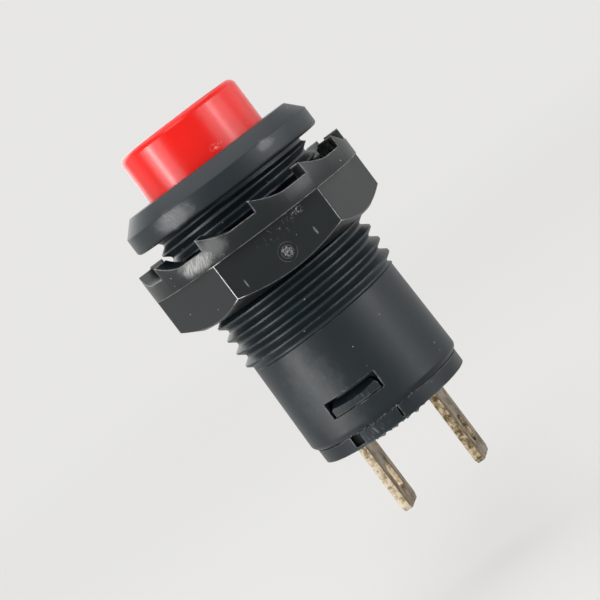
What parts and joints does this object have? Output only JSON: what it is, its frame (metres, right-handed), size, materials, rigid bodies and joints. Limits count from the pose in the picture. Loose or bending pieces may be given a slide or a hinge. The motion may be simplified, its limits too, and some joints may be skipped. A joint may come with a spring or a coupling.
{
  "type": "latching push button switch",
  "caption": "Panel-mount latching push button with a red cap, bevelled flange, threaded barrel, toothed hex nut and solder blades.",
  "frame": {"origin": "on the switch axis, in the plane of the flange's underside, where the panel's front face lies", "axes": "+Z along the switch axis out of the panel, towards the button; the solder blades stand apart along X and are flat across Y; a snap window faces -Y"},
  "size_m": [0.0162, 0.0162, 0.0297],
  "materials": {
    "black_plastic": "satin moulded",
    "nut_plastic": "satin moulded, scuffed",
    "red_plastic": "glossy moulded",
    "plunger_plastic": "moulded",
    "rotor_plastic": "natural moulded",
    "tinned_brass": "dull tinned",
    "contact_brass": "bright",
    "spring_wire": "bright wire"
  },
  "bodies": {
    "housing": {"housing": "black_plastic", "base_plug": "black_plastic", "terminal_left": "tinned_brass", "terminal_right": "tinned_brass", "contact_leaf_left": "contact_brass", "contact_leaf_right": "contact_brass", "return_spring": "spring_wire"},
    "nut": {"hex_nut": "nut_plastic"},
    "button": {"button": "red_plastic", "plunger": "plunger_plastic"},
    "rotor": {"latch_rotor": "rotor_plastic", "contact_ring": "contact_brass"}
  },
  "joints": [
    {"name": "nut_travel", "type": "slide", "parent": "housing", "child": "nut", "axis": [0, 0, 1], "range_m": [-0.0235, 0.00106]},
    {"name": "button_press", "type": "slide", "parent": "housing", "child": "button", "axis": [0, 0, -1], "range_m": [0, 0.003], "stiffness_N_per_m": 400, "springref_m": -0.003, "deforming": ["return_spring", "contact_leaf_left", "contact_leaf_right"]},
    {"name": "rotor_travel", "type": "slide", "parent": "housing", "child": "rotor", "axis": [0, 0, -1], "range_m": [0, 0.003]}
  ],
  "couplings": [
    {"joint": "rotor_travel", "follows": "button_press", "ratio": 1}
  ]
}
